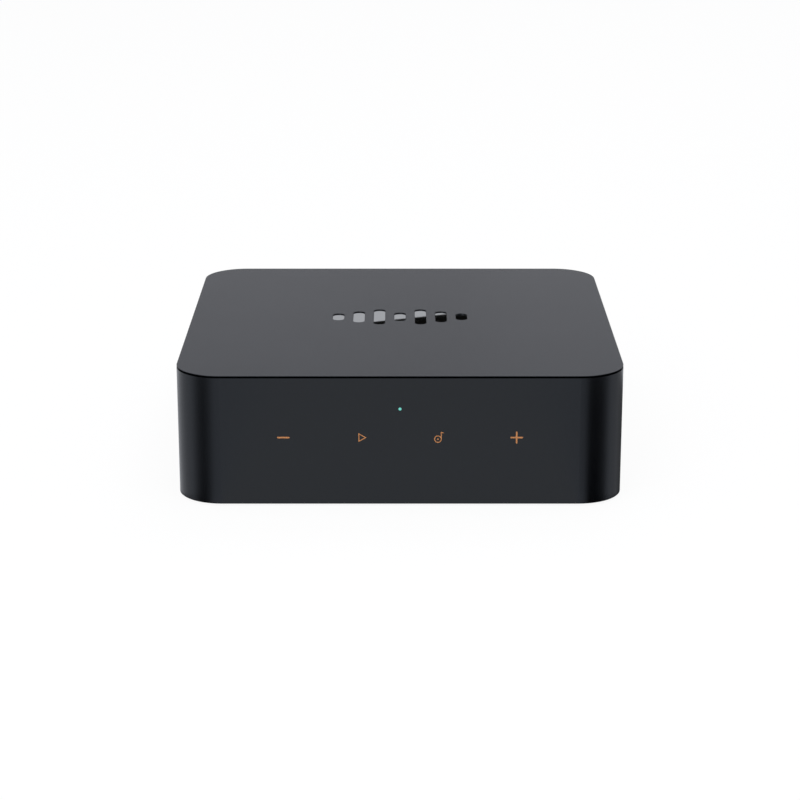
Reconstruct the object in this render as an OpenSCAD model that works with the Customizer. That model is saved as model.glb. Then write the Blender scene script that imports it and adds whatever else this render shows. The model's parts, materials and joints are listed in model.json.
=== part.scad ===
// Network music streamer: a low square case with touch keys on its front and sockets at its rear.
// Millimetres. +Z is up, the front faces -Y, and the origin is on the table under the case's middle.

/* [Body] */
// Width of the case, left to right
body_w = 140; // [126:1:180]
// Depth of the case, front face to rear face
body_d = 140; // [126:1:180]
// Height of the case from the table to its top face
body_h = 42; // [38:0.5:60]
// Radius of the four upright corners
corner_r = 14.3; // [10:0.1:16]
// Thickness of the shell's walls
wall = 2.2; // [1.9:0.1:2.8]
// Bevel along the shell's lower edge
skirt_cut = 0.1; // [0.1:0.1:0.6]

/* [Top cover] */
// Thickness of the cover, its locating step included
cover_t = 2.4; // [1.8:0.1:3.2]
// Height of the dark shadow line under the cover's edge
seam_h = 0.65; // [0.3:0.05:1]
// Bevel along the cover's upper edge
edge_cut = 0.1; // [0.1:0.05:0.5]
// Gap between the cover's step and the shell
cover_fit = 0.15; // [0.1:0.05:0.3]
// Distance of the pillars from the outside of the case
pillar_inset = 12; // [10.5:0.5:14]
// Radius of a pillar
pillar_r = 3.2; // [2.8:0.1:3.8]

/* [Top emblem] */
// Length of the row of glossy bars in the top
emblem_w = 45.2; // [34:0.2:80]
// Length of the longest bar, front to back
emblem_d = 19.6; // [14:0.2:40]
// Width of a bar
emblem_bar = 3.8; // [2.4:0.1:4.4]
// Thickness of a bar
emblem_t = 0.7; // [0.4:0.1:1]
// Depth of the bars' faces below the top
emblem_sink = 0.3; // [0.1:0.05:0.6]
// How far the row lies behind the middle of the top
emblem_back = 1.1; // [-20:0.1:20]
// Gap round a bar
emblem_fit = 0.08; // [0.04:0.02:0.2]

/* [Base] */
// Thickness of the base plate
base_t = 2.4; // [2:0.1:3]
// How far the shell's ledge reaches over the base plate
ledge = 1; // [0.6:0.1:1.4]
// Gap between the base plate and the shell
base_fit = 0.15; // [0.1:0.05:0.3]
// Thickness of the rubber foot pad
foot_t = 2; // [1.4:0.1:2.2]
// How far the foot pad stands below the shell
foot_stand = 0.4; // [0.3:0.1:1.2]
// Distance of the foot pad from the outside of the case
foot_inset = 6.5; // [4:0.5:9]
// Height of the bosses for the case screws
boss_h = 2; // [1.5:0.1:3]
// Thickness of a boss round its pillar
boss_t = 1; // [0.6:0.1:1.4]

/* [Front keys] */
// Distance between neighbouring keys
key_pitch = 24.1; // [18:0.1:27]
// Height of the keys above the table
key_z = 22.15; // [20:0.05:25]
// Depth of a mark in the front wall
mark_t = 0.4; // [0.2:0.1:0.8]
// Gap round a mark
mark_fit = 0.03; // [0.02:0.01:0.06]
// Length of the minus and plus strokes
sign_w = 3.9; // [3:0.1:6]
// Width of the minus and plus strokes
sign_line = 0.5; // [0.4:0.02:1]
// Height of the play triangle
play_h = 2.4; // [2:0.1:5]
// Width of the play triangle
play_w = 2.1; // [1.5:0.1:4]
// Width of the lines in the play and preset marks
thin_line = 0.28; // [0.2:0.02:0.6]
// Diameter of the ring in the preset mark
ring_d = 2.35; // [2:0.05:4]
// Diameter of the dot in the preset mark
dot_d = 0.5; // [0.3:0.05:0.9]
// Height of the stem in the preset mark
stem_h = 2.2; // [1.6:0.1:4]
// Length of the flag in the preset mark
flag_w = 0.6; // [0.5:0.1:1.4]
// How far the flag in the preset mark droops
flag_drop = 0.15; // [0:0.05:0.4]

/* [Indicator] */
// Diameter of the indicator's lens
lens_d = 0.9; // [0.6:0.1:1.6]
// Height of the indicator above the table
lens_z = 31.4; // [30:0.1:33]
// Diameter of the lens's flange inside the wall
lens_flange_d = 2.4; // [2.2:0.1:3]
// Thickness of the lens's flange
lens_flange_t = 0.5; // [0.3:0.1:0.6]
// Thickness of wall left in front of the light's pocket
lens_web = 0.9; // [0.6:0.1:1]
// Gap round the lens
lens_fit = 0.04; // [0.02:0.02:0.08]
// Width of the light behind the lens
light_w = 1.6; // [1:0.1:2]
// Height of the light behind the lens
light_h = 1; // [0.6:0.1:1.4]
// Gap between the light and the lens
light_gap = 0.3; // [0.2:0.05:0.5]

/* [Touch board] */
// Width of the touch board
touch_w = 92; // [86:1:100]
// Height of the touch board
touch_h = 21; // [19:0.5:23]
// Thickness of the touch board
touch_t = 1; // [0.8:0.1:1.6]
// How far the touch board reaches below the keys' line
touch_drop = 8.4; // [7.5:0.1:9]
// Thickness of the adhesive film and of the electrodes in it
film_t = 0.2; // [0.1:0.05:0.4]
// Gap between the film and what it goes round
film_gap = 0.3; // [0.2:0.1:0.5]
// Diameter of a touch electrode
electrode_d = 12; // [8:0.5:13]
// Side of the touch chip
touch_chip_w = 5; // [3:0.5:7]

/* [Ribbon] */
// Width of the ribbon between the two boards
ribbon_w = 12; // [8:0.5:16]
// Thickness of the ribbon
ribbon_t = 0.3; // [0.2:0.05:0.4]
// Length of a ribbon socket
socket_len = 5; // [4:0.1:6]
// Height of a ribbon socket
socket_h = 2; // [1.6:0.1:2.2]
// Wall of a ribbon socket beside the ribbon
socket_wall = 1.5; // [1:0.1:2]
// Depth of the slot in a ribbon socket
slot_depth = 1.1; // [0.8:0.1:1.5]
// Gap round the ribbon in a socket
ribbon_fit = 0.1; // [0.06:0.02:0.16]
// How far the ribbon's upper end lies below the keys' line
ribbon_drop = 4; // [3:0.1:5]

/* [Rear panel] */
// Wall left beside the rear opening, up to where the corner starts
panel_margin = 2.7; // [2.4:0.1:3.2]
// Height of the opening's lower edge above the base plate
panel_lift = 2; // [1.8:0.1:2.4]
// Distance of the opening's upper edge below the cover
panel_drop = 2.4; // [2:0.1:3]
// Radius of the opening's corners
panel_r = 2.5; // [1:0.1:4]
// Depth of the panel's face below the rear wall
panel_sink = 0.8; // [0.4:0.1:1.2]
// Thickness of the panel's flange behind the rear wall
flange_t = 1.6; // [1.2:0.1:2]
// How far the flange reaches behind the wall
flange_reach = 1.6; // [1:0.1:1.7]
// Gap round the panel in its opening
panel_fit = 0.15; // [0.1:0.05:0.3]
// Gap round a socket in the panel
cut_fit = 0.12; // [0.08:0.02:0.2]

/* [Main board] */
// Gap between the main board's sides and the pillars
board_side_gap = 1.8; // [1:0.1:3]
// Depth of the main board
board_d = 94; // [84:1:104]
// Thickness of the main board
board_t = 1.6; // [1.2:0.1:2]
// Height of the posts that carry the main board
board_lift = 3.8; // [3.2:0.1:4.4]
// Distance of the board's rear edge from the rear panel
board_gap = 0.5; // [0.3:0.1:1]
// Distance of the board screws from the board's side and front edges
screw_inset = 6; // [5:0.5:7]
// Distance of the rear board screws from the board's rear edge
screw_back = 26; // [24:0.5:28]
// Radius of the posts that carry the main board
post_r = 3; // [2.6:0.1:3.4]

/* [Screws] */
// Radius of a case screw's shank
case_screw_r = 1.45; // [1.2:0.05:1.6]
// Radius of a case screw's head
case_head_r = 2.7; // [2.4:0.1:3]
// Height of a case screw's head
case_head_h = 1.5; // [1.2:0.1:1.7]
// Grip of a case screw in its pillar
case_grip = 9; // [6:0.5:12]
// Radius of a small screw's shank
small_screw_r = 1.2; // [0.9:0.05:1.3]
// Radius of a small screw's head
small_head_r = 2.4; // [2.1:0.1:2.6]
// Height of a small screw's head
small_head_h = 1.5; // [1.1:0.1:1.8]
// Grip of a small screw below what it holds
small_grip = 3.2; // [2.4:0.1:3.5]
// Grip of the jack screw in its block
jack_grip = 4; // [3:0.1:5]
// Gap round a shank in its hole
screw_fit = 0.06; // [0.04:0.02:0.1]
// Room past a screw's tip
tip_room = 0.4; // [0.2:0.1:0.6]
// Width of the cross slot in a screw's head
slot_w = 0.7; // [0.5:0.05:0.9]

/* [Streaming module] */
// Width of the module's board
module_w = 46; // [40:1:52]
// Depth of the module's board
module_d = 34; // [30:1:38]
// Thickness of the module's board
module_t = 1; // [0.8:0.1:1.4]
// Width of the shield can
can_w = 30; // [26:1:33]
// Depth of the shield can
can_d = 25; // [20:1:28]
// Height of the shield can
can_h = 2; // [1.4:0.1:2.6]
// Thickness of the shield can's sheet
can_t = 0.3; // [0.2:0.05:0.5]
// Thickness of the thermal pad
pad_t = 1; // [0.8:0.1:2]
// Distance of the thermal pad's edge from the can's edge
pad_inset = 1.5; // [0.5:0.1:4]
// Distance of the heat spreader from the board's sides
spreader_side = 11; // [10:0.5:14]
// Depth of the heat spreader
spreader_d = 58; // [52:1:64]
// Thickness of the heat spreader
spreader_t = 2.5; // [1.5:0.1:4]
// Radius of the heat spreader's corners
spreader_r = 4; // [2:0.5:8]
// Distance of the spreader's posts from its edges
post_inset = 5; // [4:0.5:7]
// Radius of a spreader post over its corners
hex_r = 2.8; // [2.4:0.1:3.2]
// Distance of the module's middle from the board's front edge
module_y = 31; // [28:0.5:34]

/* [Board parts] */
// Diameter of a filter capacitor
cap_d = 6.3; // [5:0.1:7]
// Height of a filter capacitor
cap_h = 7.7; // [5:0.1:10]
// Height of a filter capacitor's square foot
cap_foot_h = 1; // [0.6:0.1:1.4]
// Margin of a filter capacitor's foot round its can
cap_foot_rim = 0.1; // [0.05:0.05:0.3]
// Side of a power inductor
coil_w = 7.3; // [6:0.1:8]
// Height of a power inductor
coil_h = 4; // [2.5:0.1:5]
// Distance between the inductors, and from the power socket
coil_gap = 1; // [0.5:0.1:1.4]
// Side of the converter chip
dac_w = 7; // [5:0.5:8]
// Side of the network chip
net_chip_w = 5; // [4:0.5:6]
// Length of the network transformer
net_coil_w = 12.7; // [11:0.1:14]
// Depth of the network transformer
net_coil_d = 6.6; // [5:0.1:8]
// Height of the network transformer
net_coil_h = 2.4; // [2:0.1:4]
// Width of an amplifier chip
amp_w = 4; // [3:0.1:5]
// Depth of an amplifier chip
amp_d = 5; // [4:0.1:6]
// Height of a chip
chip_h = 1.1; // [0.8:0.1:1.6]
// Width of a crystal
crystal_w = 3.2; // [2:0.1:5]
// Depth of a crystal
crystal_d = 2.5; // [1.6:0.1:3.2]
// Distance of the crystals behind the row of parts
crystal_back = 6; // [5.5:0.1:6.5]

/* [Wall antennas] */
// Length of a wall antenna
antenna_w = 36; // [28:1:44]
// Height of a wall antenna
antenna_h = 8; // [6:0.5:10]
// Thickness of a wall antenna
antenna_t = 0.4; // [0.2:0.1:0.8]
// Height of the antenna's middle above the base plate
antenna_z = 25; // [23:0.5:27]
// Radius of an antenna lead
lead_r = 0.57; // [0.4:0.01:0.6]
// Gap between a lead and what it lies on
lead_gap = 0.05; // [0.03:0.01:0.2]
// Radius of an antenna plug
plug_r = 1.3; // [1:0.1:1.6]
// Height of an antenna plug
plug_h = 1.2; // [1.1:0.1:1.6]
// Distance of a plug from the module's side and front edges
plug_inset = 2.8; // [2.4:0.1:3.4]

/* [Phono sockets] */
// Width of one place in a phono block
block_w = 10.8; // [10.4:0.1:12]
// Depth of a phono block
block_d = 12; // [11:0.5:14]
// Height of the lower sockets above the board
phono_z = 5.8; // [5.2:0.1:6.2]
// Distance of the upper sockets below the rear opening's upper edge
phono_drop = 7.6; // [7:0.1:8.4]
// Height of a block above its top socket
block_over = 5.6; // [5:0.1:6.2]
// Radius of a barrel
barrel_r = 4.15; // [3.9:0.01:4.6]
// Thickness of a barrel's wall
barrel_t = 0.8; // [0.7:0.05:0.9]
// How much slimmer a barrel's root is
barrel_step = 0.4; // [0.35:0.01:0.45]
// How far a barrel stands out of the panel
barrel_reach = 8.4; // [7.5:0.1:9.5]
// Depth of a barrel's root in its block
barrel_root = 3; // [2:0.1:4]
// Gap between the panel and a barrel's root
root_gap = 0.4; // [0.3:0.05:0.5]
// Radius of the coloured collar round a barrel
collar_r = 5.1; // [4.8:0.1:5.6]
// Thickness of the coloured collar
collar_t = 1.1; // [0.8:0.1:1.6]
// Radius of the hole that takes a plug's pin
pin_hole_r = 1.7; // [1.6:0.01:1.9]
// Length of the contact at the end of that hole
contact_len = 6; // [5:0.1:7]
// Thickness of the contact's sheet
contact_t = 0.35; // [0.25:0.05:0.5]
// Distance of an insulator's face behind the barrel's end
face_sink = 0.5; // [0.2:0.1:1]
// Gap round pieces pressed into one another
phono_fit = 0.05; // [0.03:0.01:0.08]

/* [Optical sockets] */
// Width of an optical housing
optical_w = 9.9; // [9:0.1:10.9]
// Height of an optical housing
optical_h = 10; // [9.6:0.1:11]
// Length of an optical housing
optical_len = 14; // [13:0.1:16]
// Thickness of the housing's walls
optical_wall = 0.7; // [0.6:0.05:0.8]
// Thickness of the housing's back
optical_back_t = 1.5; // [1:0.1:2]
// Thickness of the lip in front of the shutter
lip_t = 0.9; // [0.7:0.05:1.2]
// Width of the port
port_w = 7.4; // [6.6:0.1:7.8]
// Height of the port
port_h = 6.4; // [5.8:0.1:7]
// Height of the port's lower edge above the bay's floor
port_lift = 0.35; // [0.3:0.05:0.5]
// Bevel of the port's lower corners
port_cut = 1.4; // [0.8:0.1:2]
// Thickness of a shutter
shutter_t = 0.7; // [0.5:0.05:0.8]
// Gap round a shutter
shutter_gap = 0.2; // [0.15:0.05:0.25]
// Radius of a shutter's pin
hinge_r = 0.4; // [0.35:0.01:0.45]
// Gap round a shutter's pin
hinge_fit = 0.05; // [0.03:0.01:0.08]
// Thickness of a shutter's knuckle round the pin
knuckle_t = 0.2; // [0.15:0.01:0.25]
// Gap between a knuckle and the bay's roof
roof_gap = 0.15; // [0.12:0.01:0.2]
// Distance of a pin's end from the housing's side
pin_sink = 0.1; // [0.05:0.05:0.2]
// Length of the sleeve that guides the light guide's tip
sleeve_len = 3; // [2:0.1:4]
// Radius of the guide sleeve's hole
sleeve_hole_r = 1.65; // [1.5:0.01:1.8]
// Thickness of the guide sleeve
sleeve_t = 0.9; // [0.6:0.1:1.2]
// Thickness of the light element
element_t = 0.8; // [0.5:0.1:1.2]

/* [Shutter springs] */
// Radius of the spring's wire
wire_r = 0.1; // [0.08:0.01:0.11]
// Turns of the spring
spring_turns = 2.25; // [1.25:1:2.25]
// Distance between the spring's turns
spring_pitch = 0.62; // [0.6:0.01:0.68]
// Gap between the spring and the pin
spring_gap = 0.08; // [0.05:0.01:0.1]
// Length of each leg of the spring
spring_leg = 2.6; // [2:0.1:3]
// Width of the notch in the shutter that holds the spring
spring_room = 2; // [1.9:0.1:2.4]
// Depth of that notch below the pin
spring_notch = 1.2; // [1:0.1:1.6]
// Distance of the spring's first turn from the notch's side
spring_start = 0.25; // [0.2:0.05:0.4]

/* [Trigger jack] */
// Radius of the jack's hole
jack_hole_r = 1.8; // [1.6:0.01:2]
// Radius of the bush round the hole
bush_r = 2.8; // [2.5:0.1:2.9]
// How far the bush stands out of the panel
bush_reach = 0.5; // [0.2:0.1:1]
// Width of the jack's body
jack_w = 6; // [5.8:0.1:6.6]
// Height of the jack's body
jack_h = 6; // [5.8:0.1:6.6]
// Length of the jack's body
jack_len = 11.5; // [10.5:0.1:13]
// Thickness of the jack's back
jack_back_t = 0.6; // [0.5:0.1:1]
// Distance of the contact's slot from the jack's back
leaf_back = 2; // [1.5:0.1:3]
// Length of the contact's slot
leaf_len = 4; // [3:0.1:5]
// Width of the contact
leaf_w = 1.4; // [1:0.1:1.6]
// Thickness of the contact
leaf_t = 0.25; // [0.15:0.05:0.35]
// Gap round the contact
leaf_gap = 0.1; // [0.08:0.01:0.2]

/* [Network socket] */
// Width of the network socket
lan_w = 16; // [15.4:0.1:17.6]
// Height of the network socket
lan_h = 13.4; // [13:0.1:14.8]
// Length of the network socket
lan_len = 21.3; // [19:0.1:23.5]
// How far the network socket stands out of the panel
lan_proud = 0.2; // [0:0.1:0.5]
// Thickness of the shield's sheet
lan_sheet = 0.3; // [0.2:0.05:0.4]
// Height of the network port above the board
lan_port_lift = 2.9; // [2.8:0.1:3.2]
// Width of the network port
lan_port_w = 11.9; // [11:0.1:13]
// Height of the network port above its latch
lan_port_h = 6.8; // [6.2:0.1:7.4]
// Depth of the network port
lan_depth = 13; // [12:0.1:14]
// Height of the latch slot's wide step
latch_h = 1.5; // [1.3:0.1:1.6]
// Width of the latch slot's wide step
latch_w = 6.2; // [6:0.1:6.4]
// Height of the latch slot's narrow step
catch_h = 0.9; // [0.6:0.1:1]
// Width of the latch slot's narrow step
catch_w = 4; // [3:0.1:5]
// Depth of the latch slot's narrow step
catch_depth = 5; // [4:0.1:6]
// Width of a light window in the network socket
window_w = 3; // [2:0.1:3.4]
// Height of a light window in the network socket
window_h = 2; // [1.6:0.1:2.2]
// Depth of a light window in the network socket
window_depth = 4; // [3:0.1:5]
// Height of the light windows' middle above the port
window_lift = 1.7; // [1.5:0.1:1.8]
// Gap round a light window
window_fit = 0.05; // [0.03:0.01:0.1]
// Distance between the network contacts
contact_pitch = 1.02; // [0.9:0.01:1.1]
// Width of a network contact
wire_w = 0.36; // [0.25:0.01:0.45]
// How far the network contacts hang into the port
wire_hang = 2; // [1.6:0.1:2.2]
// Distance of the network contacts' front ends from the socket's face
wire_sink = 3; // [2:0.1:4]

/* [Power socket] */
// Width of the power socket
usb_w = 8.94; // [8:0.01:9.9]
// Height of the power socket
usb_h = 3.26; // [2.9:0.01:3.6]
// Length of the power socket
usb_len = 7.4; // [6.6:0.1:8.2]
// Depth of the power socket's mouth below the panel's face
usb_sink = 0.1; // [0:0.05:0.3]
// Thickness of the power socket's sheet
usb_sheet = 0.3; // [0.25:0.01:0.35]
// Thickness of the power socket's back
usb_back_t = 0.8; // [0.5:0.1:1]
// Width of the tongue
tongue_w = 6.7; // [6:0.01:7]
// Thickness of the tongue
tongue_t = 0.7; // [0.6:0.01:0.8]
// Length of the tongue
tongue_len = 4.5; // [4:0.1:5]
// Thickness of the tongue's root
tongue_root = 1.2; // [0.8:0.1:1.4]
// Gap round the tongue's root
tongue_fit = 0.05; // [0.03:0.01:0.1]

/* [Hidden] */
$fn = 64;

// How far a cutting shape runs past what it cuts
past = 1;
// Radius taken off a full round end, so that its sides keep a short straight
round_off = 0.01;
// Share of a screw's head that its cross slot takes
slot_share = 0.62;
// Length of each bar in the emblem, as a share of the longest
emblem_shares = [0.3, 0.65, 1, 0.45, 1, 0.65, 0.3];
// Number of contacts in the network socket
lan_ways = 8;

// Heights of the case
shell_z = foot_stand;
base_z = shell_z + base_t;
recess_z = foot_t;
boss_z = base_z + boss_h;
rim_z = body_h - edge_cut - seam_h;
ceiling_z = body_h - cover_t;
emblem_z = body_h - emblem_sink - emblem_t;
board_z = base_z + board_lift;
deck_z = board_z + board_t;

// Front and rear planes
front_y = -body_d / 2;
front_in_y = front_y + wall;
film_y = front_in_y + film_t;
touch_back_y = film_y + touch_t;
rear_y = body_d / 2;
rear_in_y = rear_y - wall;
seat_y = rear_in_y - flange_t;
panel_y = rear_y - panel_sink;

// Pillars
pillar_x = body_w / 2 - pillar_inset;
pillar_y = body_d / 2 - pillar_inset;
corners = [for (x = [-1, 1], y = [-1, 1]) [x, y]];
pillars = [for (c = corners) [c.x * pillar_x, c.y * pillar_y, 0]];

// Rear opening
panel_w = body_w - 2 * corner_r - 2 * panel_margin;
panel_low_z = base_z + panel_lift;
panel_high_z = ceiling_z - panel_drop;
panel_h = panel_high_z - panel_low_z;
panel_z = (panel_low_z + panel_high_z) / 2;

// Places in a row of pieces with equal gaps, counted from the right-hand end
function total(list, count) = count == 0 ? 0 : list[count - 1] + total(list, count - 1);
function place(widths, i, span) =
    let (gap = (span - total(widths, len(widths))) / (len(widths) + 1))
    span / 2 - gap * (i + 1) - total(widths, i) - widths[i] / 2;

// Sockets along the rear panel
socket_widths = [block_w, block_w, block_w, optical_w, optical_w, jack_w, lan_w, usb_w];
line_in_x = place(socket_widths, 0, panel_w);
line_out_x = place(socket_widths, 1, panel_w);
coax_x = place(socket_widths, 2, panel_w);
optical_out_x = place(socket_widths, 3, panel_w);
optical_in_x = place(socket_widths, 4, panel_w);
trigger_x = place(socket_widths, 5, panel_w);
lan_x = place(socket_widths, 6, panel_w);
usb_x = place(socket_widths, 7, panel_w);

// Main board and module
board_w = 2 * (pillar_x - pillar_r - board_side_gap);
board_rear_y = seat_y - board_gap;
board_front_y = board_rear_y - board_d;
screw_x = board_w / 2 - screw_inset;
screw_ys = [board_front_y + screw_inset, board_rear_y - screw_back];
board_holes = [for (x = [-1, 1], y = screw_ys) [x * screw_x, y]];
module_mid = [0, board_front_y + module_y];
can_z = deck_z + module_t;
pad_z = can_z + can_h;
spreader_z = pad_z + pad_t;
spreader_w = board_w - 2 * spreader_side;
spreader_rear_y = module_mid.y + spreader_d / 2;
spreader_holes = [for (c = corners)
    module_mid + [c.x * (spreader_w / 2 - post_inset), c.y * (spreader_d / 2 - post_inset)]];

// Phono sockets
low_z = deck_z + phono_z;
high_z = panel_high_z - phono_drop;
barrel_in_r = barrel_r - barrel_t;
root_r = barrel_r - barrel_step;
root_y = seat_y - barrel_root;
contact_y = root_y - contact_len;
tip_y = panel_y + barrel_reach;
face_y = tip_y - face_sink;
collar_y = panel_y + collar_t;
coax_port = [coax_x, low_z];
ports = [[line_in_x, low_z], [line_in_x, high_z], [line_out_x, low_z], [line_out_x, high_z], coax_port];
jack_screw_x = (line_in_x + line_out_x) / 2;
jack_screw_z = (low_z + high_z) / 2;
jack_screw_len = panel_y - seat_y + jack_grip;

// Network socket
lan_y = panel_y + lan_proud;
lan_back_y = lan_y - lan_len;
lan_port_z = deck_z + lan_port_lift;
lan_roof_z = lan_port_z + lan_port_h;

// Row of parts between the heat spreader and the sockets
row_y = (spreader_rear_y + min(lan_back_y, seat_y - block_d)) / 2;
row_span = 2 * (screw_x - small_head_r);
row_widths = [amp_w, cap_d, amp_w, cap_d, dac_w, cap_d, cap_d, net_chip_w, net_coil_w];
function row_x(i) = place(row_widths, i, row_span);

// Optical sockets
optical_xs = [optical_out_x, optical_in_x];
optical_back_y = panel_y - optical_len;
optical_floor_y = optical_back_y + optical_back_t;
bay_y = panel_y - lip_t;
bay_x = optical_w / 2 - optical_wall;
bay_low_z = deck_z + optical_wall;
bay_high_z = deck_z + optical_h - optical_wall;
port_z = bay_low_z + port_lift + port_h / 2;
knuckle_r = hinge_r + knuckle_t;
hinge_z = bay_high_z - knuckle_r - roof_gap;
shutter_y = bay_y - shutter_gap / 2;
hinge_y = shutter_y - knuckle_r;
shutter_x = bay_x - shutter_gap;
spring_r = hinge_r + wire_r + spring_gap;

// Trigger and power sockets
jack_z = deck_z + jack_h / 2;
jack_back_y = seat_y - jack_len;
bush_y = panel_y + bush_reach;
usb_z = deck_z + usb_h / 2;
usb_y = panel_y - usb_sink;
usb_floor_y = usb_y - usb_len + usb_back_t;
usb_in_w = usb_w - 2 * usb_sheet;
usb_in_h = usb_h - 2 * usb_sheet;

// Ribbon and its sockets
socket_w = ribbon_w + 2 * socket_wall;
ribbon_top_z = key_z - ribbon_drop;
ribbon_top_y = touch_back_y + socket_h;
ribbon_low_z = deck_z + socket_h / 2;
ribbon_low_y = board_front_y + socket_wall;

// Antennas
antenna_x = body_w / 2 - wall;
antenna_mid_z = base_z + antenna_z;
plug_x = module_w / 2 - plug_inset;
plug_y = module_mid.y - module_d / 2 + plug_inset;
lead_z = can_z + plug_h / 2;

// Shared shapes

// A rounded rectangle
module rounded_square(w, d, r) {
    square([w - 2 * r, d], center = true);
    square([w, d - 2 * r], center = true);
    for (c = corners)
        translate([c.x * (w / 2 - r), c.y * (d / 2 - r)]) circle(r);
}

// A rounded slab between two heights
module slab(w, d, r, z0, z1) {
    translate([0, 0, z0]) linear_extrude(z1 - z0) rounded_square(w, d, r);
}

// Carries a section, drawn as distance from the corner's centre and height, round a rounded rectangle
module around(w, d, r) {
    for (i = [0 : 3]) {
        size = i % 2 == 0 ? [w, d] : [d, w];
        rotate(90 * i) {
            translate([size.x / 2 - r, 0, 0]) rotate([90, 0, 0])
                linear_extrude(size.y - 2 * r, center = true) children();
            translate([size.x / 2 - r, size.y / 2 - r, 0]) rotate_extrude(angle = 90) children();
        }
    }
}

// Stands a shape drawn as width and height upright between two depths
module upright(y0, y1) {
    translate([0, y1, 0]) rotate([90, 0, 0]) linear_extrude(y1 - y0) children();
}

// A round bar along the depth
module bar(x, z, r, y0, y1) {
    translate([x, y1, z]) rotate([90, 0, 0]) cylinder(r = r, h = y1 - y0);
}

// A round tube along the depth
module sleeve(x, z, r, hole_r, y0, y1) {
    difference() {
        bar(x, z, r, y0, y1);
        bar(x, z, hole_r, y0 - past, y1 + past);
    }
}

// A block given by its two corners
module block(low, high) {
    translate(low) cube(high - low);
}

// A block standing on a height, centred on a place
module chip(place, z, w, d, h) {
    translate([place.x - w / 2, place.y - d / 2, z]) cube([w, d, h]);
}

// A line with round ends
module stroke(from, to, line) {
    run = to - from;
    translate(from) rotate(atan2(run.y, run.x)) translate([0, -line / 2]) square([norm(run), line]);
    for (p = [from, to])
        translate(p) circle(d = line);
}

// A screw pointing up, the underside of its head on the origin, with a cross slot in the head
module screw(r, length, head_r, head_h) {
    cylinder(r = r, h = length);
    difference() {
        translate([0, 0, -head_h]) cylinder(r = head_r, h = head_h);
        for (a = [0, 90])
            rotate(a) translate([-head_r * slot_share, -slot_w / 2, -head_h])
                cube([2 * head_r * slot_share, slot_w, head_h * slot_share]);
    }
}

// Headings along a list of points, and sides that keep square to them without twisting
function unit(v) = v / norm(v);
function headings(p) =
    [for (i = [0 : len(p) - 1]) unit(p[min(i + 1, len(p) - 1)] - p[max(i - 1, 0)])];
function sides_of(t, n, i = 0) =
    i == len(t) ? [] : let (m = unit(n - (n * t[i]) * t[i])) concat([m], sides_of(t, m, i + 1));

// A smooth line through a list of points
function bend(a, b, c, d, t) =
    0.5 * (2 * b + (c - a) * t + (2 * a - 5 * b + 4 * c - d) * t ^ 2 + (3 * b - a - 3 * c + d) * t ^ 3);
function smooth(p, steps) = concat(
    [for (i = [0 : len(p) - 2], s = [0 : steps - 1])
        bend(p[max(i - 1, 0)], p[i], p[i + 1], p[min(i + 2, len(p) - 1)], s / steps)],
    [p[len(p) - 1]]);

// A tube of round section along a list of points
module tube(path, r, first_side, count) {
    t = headings(path);
    n = sides_of(t, first_side);
    last = len(path) - 1;
    points = [for (i = [0 : last], k = [0 : count - 1])
        path[i] + r * (cos(360 * k / count) * n[i] + sin(360 * k / count) * cross(t[i], n[i]))];
    walls = [for (i = [0 : last - 1], k = [0 : count - 1]) let (m = (k + 1) % count)
        [i * count + k, (i + 1) * count + k, (i + 1) * count + m, i * count + m]];
    first_cap = [for (k = [0 : count - 1]) k];
    last_cap = [for (k = [count - 1 : -1 : 0]) last * count + k];
    polyhedron(points, concat(walls, [first_cap, last_cap]));
}

// Case

// A row of round-ended bars, as on a level meter
module emblem_shape(grow = 0) {
    pitch = (emblem_w - emblem_bar) / (len(emblem_shares) - 1);
    reach = (emblem_d - emblem_bar) / 2;
    for (i = [0 : len(emblem_shares) - 1])
        translate([i * pitch - (emblem_w - emblem_bar) / 2, emblem_back])
            stroke([0, -reach * emblem_shares[i]], [0, reach * emblem_shares[i]], emblem_bar + 2 * grow);
}

module top_cover() {
    in_r = corner_r - wall - cover_fit;
    color("#17181a") difference() {
        union() {
            around(body_w, body_d, corner_r) polygon([
                [0, ceiling_z], [in_r, ceiling_z], [in_r, rim_z], [corner_r - seam_h, rim_z],
                [corner_r, rim_z + seam_h], [corner_r - edge_cut, body_h], [0, body_h]]);
            chip([0, 0], ceiling_z, body_w - 2 * corner_r, body_d - 2 * corner_r, cover_t);
            for (p = pillars)
                translate([p.x, p.y, boss_z]) cylinder(r = pillar_r, h = ceiling_z - boss_z);
        }
        translate([0, 0, emblem_z]) linear_extrude(cover_t) emblem_shape(emblem_fit);
        for (p = pillars)
            translate([p.x, p.y, boss_z - past])
                cylinder(r = case_screw_r + screw_fit, h = past + case_grip + tip_room);
    }
}

module top_emblem() {
    color("#0a0a0b") translate([0, 0, emblem_z]) linear_extrude(emblem_t) emblem_shape();
}

module shell() {
    in_r = corner_r - wall;
    color("#17181a") difference() {
        around(body_w, body_d, corner_r) polygon([
            [in_r, base_z], [in_r + ledge, base_z], [in_r + ledge, shell_z], [corner_r - skirt_cut, shell_z],
            [corner_r, shell_z + skirt_cut], [corner_r, rim_z], [in_r, rim_z]]);
        upright(rear_in_y - past, rear_y + past) translate([0, panel_z])
            rounded_square(panel_w, panel_h, panel_r);
        upright(front_y - past, front_y + mark_t) {
            minus_shape(mark_fit);
            play_shape(mark_fit);
            preset_shape(mark_fit);
            plus_shape(mark_fit);
        }
        bar(0, lens_z, lens_d / 2 + lens_fit, front_y - past, front_in_y);
        bar(0, lens_z, lens_flange_d / 2 + lens_fit, front_y + lens_web, front_in_y + past);
    }
}

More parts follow.
